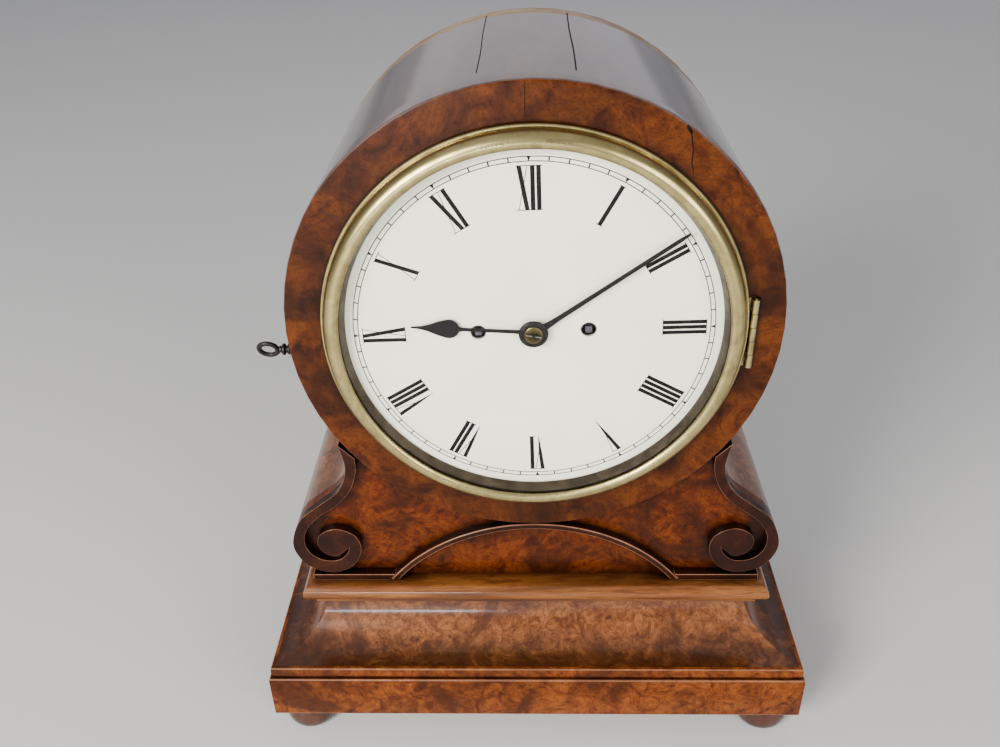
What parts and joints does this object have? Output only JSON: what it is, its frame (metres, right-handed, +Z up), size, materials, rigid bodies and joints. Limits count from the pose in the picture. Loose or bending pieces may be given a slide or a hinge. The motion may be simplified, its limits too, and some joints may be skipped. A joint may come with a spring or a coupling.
{
  "type": "bracket clock",
  "caption": "Drum-head bracket clock: walnut case with scrolled waist and moulded plinth, glazed brass bezel, painted roman dial and twin-fusee movement.",
  "frame": {"origin": "middle of the footprint, on the surface the feet stand on", "axes": "X to the right as the dial is read, Y from the dial towards the back, Z up"},
  "size_m": [0.3286, 0.1926, 0.4064],
  "materials": {
    "burr_walnut": "glossy French polish",
    "turned_feet": "dark glossy polish",
    "plain_wood": "unpolished secondary timber",
    "polished_brass": "polished, a little tarnished",
    "movement_brass": "satin",
    "bell_metal": "turned, satin",
    "darkened_brass": "darkened with age",
    "steel": "polished",
    "black_steel": "blued to near black",
    "black_iron": "black, worn",
    "painted_dial": "off-white enamel paint, satin",
    "clear_glass": "clear, flat"
  },
  "bodies": {
    "case": {"foot_front_left": "turned_feet", "foot_front_right": "turned_feet", "foot_back_left": "turned_feet", "foot_back_right": "turned_feet", "plinth_front": "burr_walnut", "plinth_left": "burr_walnut", "plinth_right": "burr_walnut", "plinth_back": "plain_wood", "bottom_board": "plain_wood", "plinth_top": "burr_walnut", "waist_panel": "burr_walnut", "waist_side_left": "burr_walnut", "waist_side_right": "burr_walnut", "waist_back": "plain_wood", "scroll_left": "burr_walnut", "scroll_right": "burr_walnut", "arch_moulding": "burr_walnut", "rail_left": "burr_walnut", "rail_right": "burr_walnut", "drum_front_ring": "burr_walnut", "drum_shell": "burr_walnut", "drum_back_ring": "burr_walnut", "rear_hinge_case_leaf": "polished_brass", "bezel_hinge_case_leaf": "polished_brass", "lock_case": "movement_brass", "movement_front_plate": "movement_brass", "movement_back_plate": "movement_brass", "seat_board": "plain_wood", "back_cock": "movement_brass", "bell": "bell_metal", "bell_stand": "steel", "dial": "painted_dial"},
    "bezel_door": {"bezel": "polished_brass", "bezel_catch": "polished_brass", "bezel_glass": "clear_glass", "sight_ring": "darkened_brass", "bezel_hinge_bezel_leaf": "polished_brass"},
    "rear_door": {"rear_door": "burr_walnut", "rear_hinge_door_leaf": "polished_brass"},
    "turn_button": {"rear_turn_button": "polished_brass"},
    "key": {"key": "black_iron"},
    "lock_bolt": {"lock_bolt": "steel"},
    "centre_arbor": {"centre_wheel": "movement_brass", "cannon_pinion": "steel", "minute_hand": "black_steel", "hand_collet": "polished_brass", "taper_pin": "steel"},
    "hour_pipe": {"hour_wheel": "movement_brass", "hour_hand": "black_steel"},
    "minute_wheel": {"minute_wheel": "movement_brass"},
    "going_fusee": {"going_fusee": "movement_brass"},
    "going_barrel": {"going_barrel": "movement_brass"},
    "third_arbor": {"third_wheel": "movement_brass"},
    "escape_arbor": {"escape_wheel": "movement_brass"},
    "pallets": {"pallets_and_crutch": "steel"},
    "pendulum": {"pendulum": "movement_brass"},
    "striking_fusee": {"striking_fusee": "movement_brass"},
    "striking_barrel": {"striking_barrel": "movement_brass"},
    "pin_wheel_arbor": {"pin_wheel": "movement_brass"},
    "hammer": {"hammer": "steel"}
  },
  "joints": [
    {"name": "bezel_hinge", "type": "hinge", "parent": "case", "child": "bezel_door", "pos_m": [0.1118, -0.0676, 0.276], "axis": [0, 0, 1], "range_deg": [0, 110]},
    {"name": "rear_door_hinge", "type": "hinge", "parent": "case", "child": "rear_door", "pos_m": [0.1038, 0.094, 0.2772], "axis": [0, 0, -1], "range_deg": [0, 120]},
    {"name": "turn_button_pivot", "type": "hinge", "parent": "case", "child": "turn_button", "pos_m": [-0.1124, 0.0923, 0.2772], "axis": [0, 1, 0], "range_deg": [0, 90]},
    {"name": "key_turn", "type": "hinge", "parent": "case", "child": "key", "pos_m": [-0.14, -0.0397, 0.2528], "axis": [-1, 0, 0], "range_deg": [0, 90]},
    {"name": "lock_bolt_slide", "type": "slide", "parent": "case", "child": "lock_bolt", "axis": [0, 0, 1], "range_m": [0, 0.0065]},
    {"name": "centre_turn", "type": "hinge", "parent": "case", "child": "centre_arbor", "pos_m": [0, -0.0257, 0.2772], "axis": [0, 1, 0], "continuous": true},
    {"name": "hour_turn", "type": "hinge", "parent": "case", "child": "hour_pipe", "pos_m": [0, -0.0577, 0.2772], "axis": [0, 1, 0], "continuous": true},
    {"name": "minute_wheel_turn", "type": "hinge", "parent": "case", "child": "minute_wheel", "pos_m": [0.00039, -0.0547, 0.2592], "axis": [0, 1, 0], "continuous": true},
    {"name": "going_fusee_turn", "type": "hinge", "parent": "case", "child": "going_fusee", "pos_m": [0.0285, -0.0257, 0.27782], "axis": [0, 1, 0], "continuous": true},
    {"name": "going_barrel_turn", "type": "hinge", "parent": "case", "child": "going_barrel", "pos_m": [0.0389, -0.0257, 0.23654], "axis": [0, 1, 0], "continuous": true},
    {"name": "third_turn", "type": "hinge", "parent": "case", "child": "third_arbor", "pos_m": [-0.00045, -0.0257, 0.29767], "axis": [0, 1, 0], "continuous": true},
    {"name": "escape_turn", "type": "hinge", "parent": "case", "child": "escape_arbor", "pos_m": [-0.00084, -0.0257, 0.31549], "axis": [0, 1, 0], "continuous": true},
    {"name": "pendulum_swing", "type": "hinge", "parent": "case", "child": "pendulum", "pos_m": [-0.00124, 0.0123, 0.33387], "axis": [0, 1, 0], "range_deg": [-3, 3]},
    {"name": "pallet_rock", "type": "hinge", "parent": "case", "child": "pallets", "pos_m": [-0.00124, -0.0057, 0.33387], "axis": [0, 1, 0], "range_deg": [-3, 3]},
    {"name": "striking_fusee_turn", "type": "hinge", "parent": "case", "child": "striking_fusee", "pos_m": [-0.0285, -0.0257, 0.27658], "axis": [0, 1, 0], "continuous": true},
    {"name": "striking_barrel_turn", "type": "hinge", "parent": "case", "child": "striking_barrel", "pos_m": [-0.03709, -0.0257, 0.23488], "axis": [0, 1, 0], "continuous": true},
    {"name": "pin_wheel_turn", "type": "hinge", "parent": "case", "child": "pin_wheel_arbor", "pos_m": [-0.03428, -0.0257, 0.30113], "axis": [0, 1, 0], "continuous": true},
    {"name": "hammer_pivot", "type": "hinge", "parent": "case", "child": "hammer", "pos_m": [-0.05277, -0.0257, 0.31206], "axis": [0, -1, 0], "range_deg": [0, 12], "stiffness_Nm_per_rad": 0.02, "springref_deg": -8.59}
  ],
  "couplings": [
    {"joint": "key_turn", "follows": "lock_bolt_slide", "rad_per_m": 241.65},
    {"joint": "hour_turn", "follows": "centre_turn", "ratio": 0.083333},
    {"joint": "minute_wheel_turn", "follows": "centre_turn", "ratio": -1},
    {"joint": "going_fusee_turn", "follows": "centre_turn", "ratio": -0.083333},
    {"joint": "going_barrel_turn", "follows": "centre_turn", "ratio": -0.061404},
    {"joint": "third_turn", "follows": "centre_turn", "ratio": -12},
    {"joint": "escape_turn", "follows": "centre_turn", "ratio": 132},
    {"joint": "pallet_rock", "follows": "pendulum_swing", "ratio": 1},
    {"joint": "pin_wheel_turn", "follows": "striking_fusee_turn", "ratio": -10.5},
    {"joint": "striking_barrel_turn", "follows": "striking_fusee_turn", "ratio": 0.73684}
  ]
}
